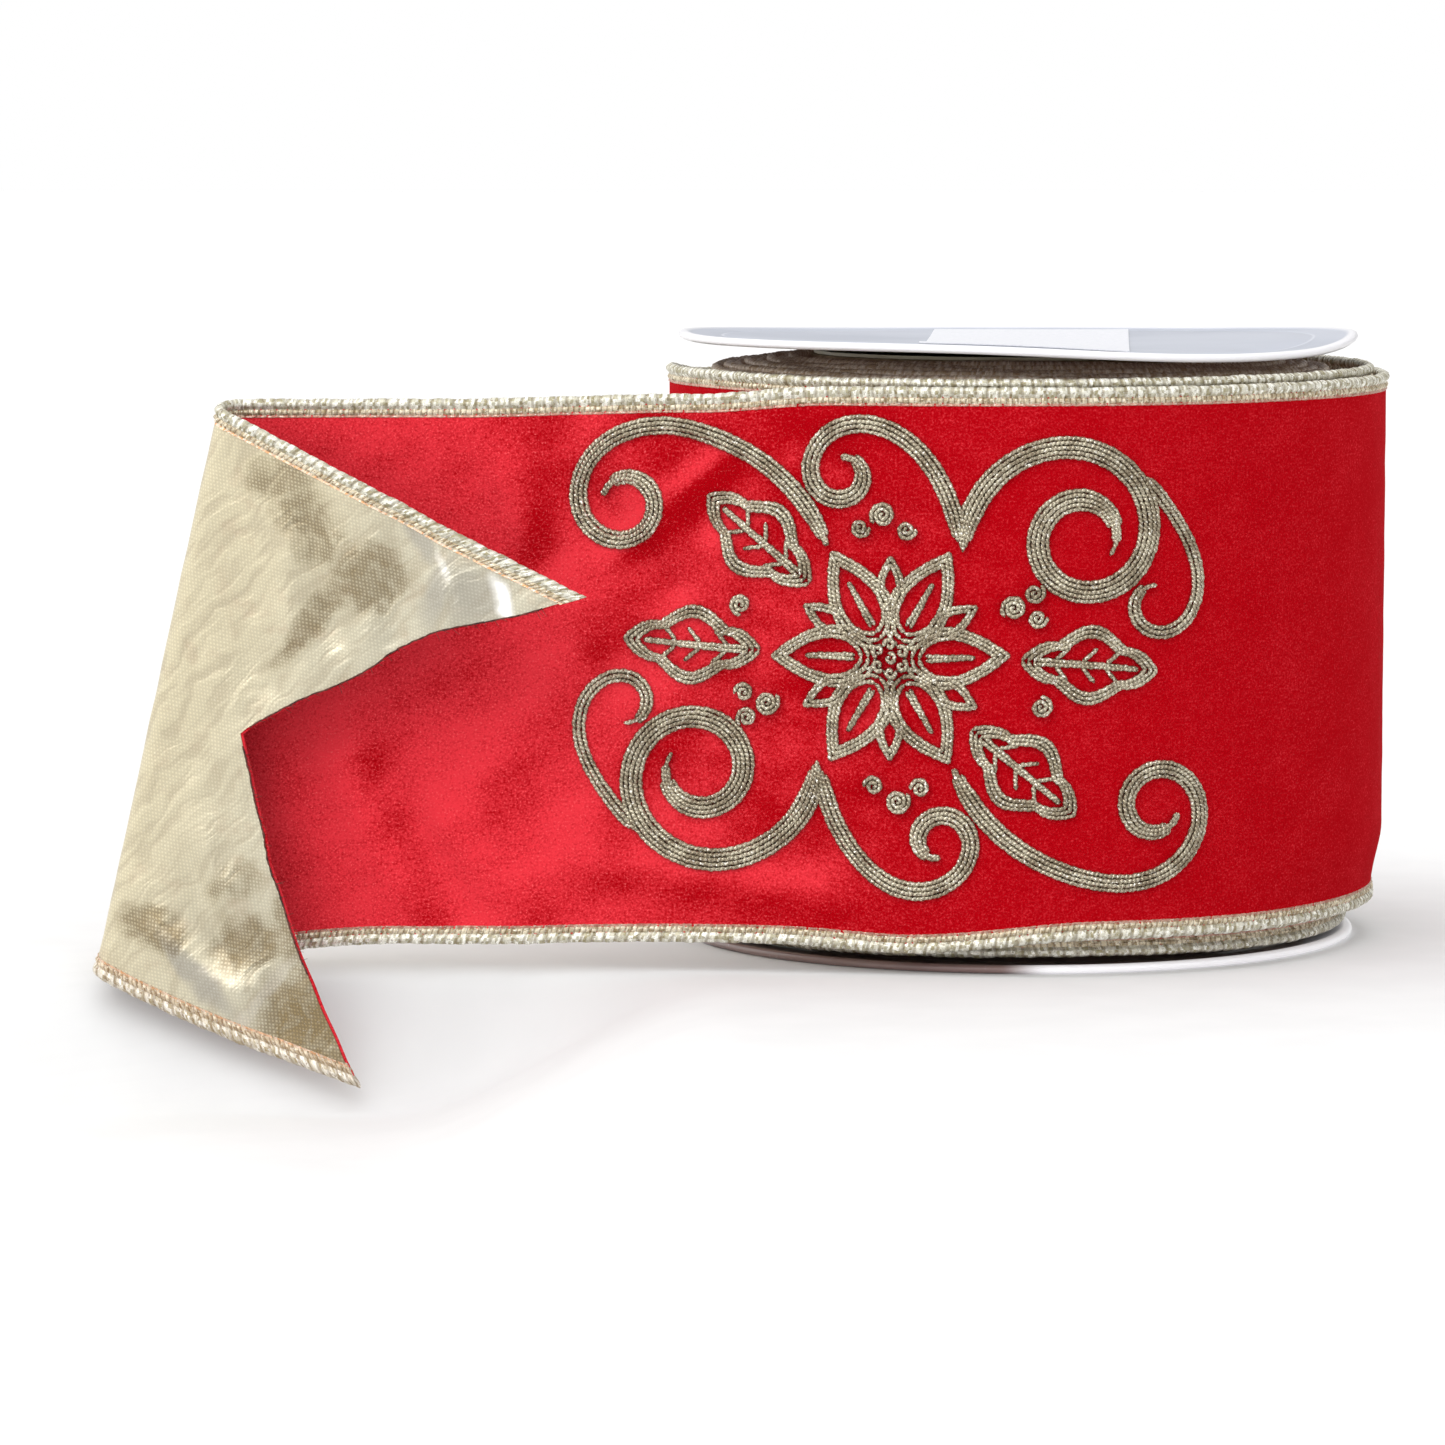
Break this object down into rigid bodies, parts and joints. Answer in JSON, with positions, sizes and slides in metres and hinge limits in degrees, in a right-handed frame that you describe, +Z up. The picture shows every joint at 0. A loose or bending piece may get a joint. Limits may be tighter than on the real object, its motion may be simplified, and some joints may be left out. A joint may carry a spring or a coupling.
{
  "type": "ribbon spool",
  "caption": "Spool of wide, wired velvet ribbon with metallic edges; its loose end is drawn out, folded back over its gold side and cut to a swallowtail.",
  "frame": {"origin": "centre of the bottom flange's underside, on the spool's axis", "axes": "+Z up along the spool's axis; the loose end leaves the front (-Y) of the roll and runs towards -X"},
  "size_m": [0.2433, 0.1517, 0.1366],
  "materials": {
    "card": "coated white, smooth",
    "label_paper": "blank, satin",
    "kraft_board": "raw, matt",
    "hot_glue": "set adhesive",
    "tape": "clear tape, glossy",
    "velvet": "short crushed pile with sheen",
    "lame": "pale gold metallic weave, soft gloss",
    "binding": "metallic overlock thread",
    "edge_wire": "thin annealed wire",
    "embroidery": "antique gold metallic thread"
  },
  "bodies": {
    "spool": {"bottom_flange": "card", "top_flange": "card", "label": "label_paper", "core_tube": "kraft_board", "lower_glue_ring": "hot_glue", "upper_glue_ring": "hot_glue", "core_tape": "tape", "inner_velvet": "velvet", "inner_lame": "lame", "inner_upper_binding": "binding", "inner_lower_binding": "binding"},
    "outer_turn": {"outer_velvet": "velvet", "outer_lame": "lame", "outer_upper_binding": "binding", "outer_lower_binding": "binding", "outer_upper_wire": "edge_wire", "outer_lower_wire": "edge_wire"},
    "tail": {"tail_velvet": "velvet", "tail_lame": "lame", "tail_upper_binding": "binding", "tail_lower_binding": "binding", "tail_upper_wire": "edge_wire", "tail_lower_wire": "edge_wire", "embroidered_flower": "embroidery", "embroidered_right_scroll": "embroidery", "embroidered_left_scroll": "embroidery", "embroidered_right_leaf": "embroidery", "embroidered_lower_right_leaf": "embroidery", "embroidered_left_leaf": "embroidery", "embroidered_upper_left_leaf": "embroidery", "fold_velvet": "velvet", "fold_lame": "lame", "fold_upper_binding": "binding", "fold_lower_binding": "binding", "fold_upper_wire": "edge_wire", "fold_lower_wire": "edge_wire"},
    "end": {"end_velvet": "velvet", "end_lame": "lame", "end_upper_binding": "binding", "end_lower_binding": "binding", "end_upper_wire": "edge_wire", "end_lower_wire": "edge_wire"}
  },
  "joints": [
    {"name": "ribbon_payout", "type": "hinge", "parent": "spool", "child": "outer_turn", "pos_m": [0, 0, 0], "axis": [0, 0, 1], "continuous": true},
    {"name": "tail_peel", "type": "hinge", "parent": "outer_turn", "child": "tail", "pos_m": [0.03137, -0.06244, 0.0563], "axis": [0, 0, 1], "range_deg": [0, 90]},
    {"name": "end_fold", "type": "hinge", "parent": "tail", "child": "end", "pos_m": [-0.15629, -0.05369, 0.0519], "axis": [-0.2063, 0.0256, -0.9781], "range_deg": [-8, 150], "deforming": ["fold_velvet", "fold_lame", "fold_upper_binding", "fold_lower_binding", "fold_upper_wire", "fold_lower_wire"]}
  ]
}
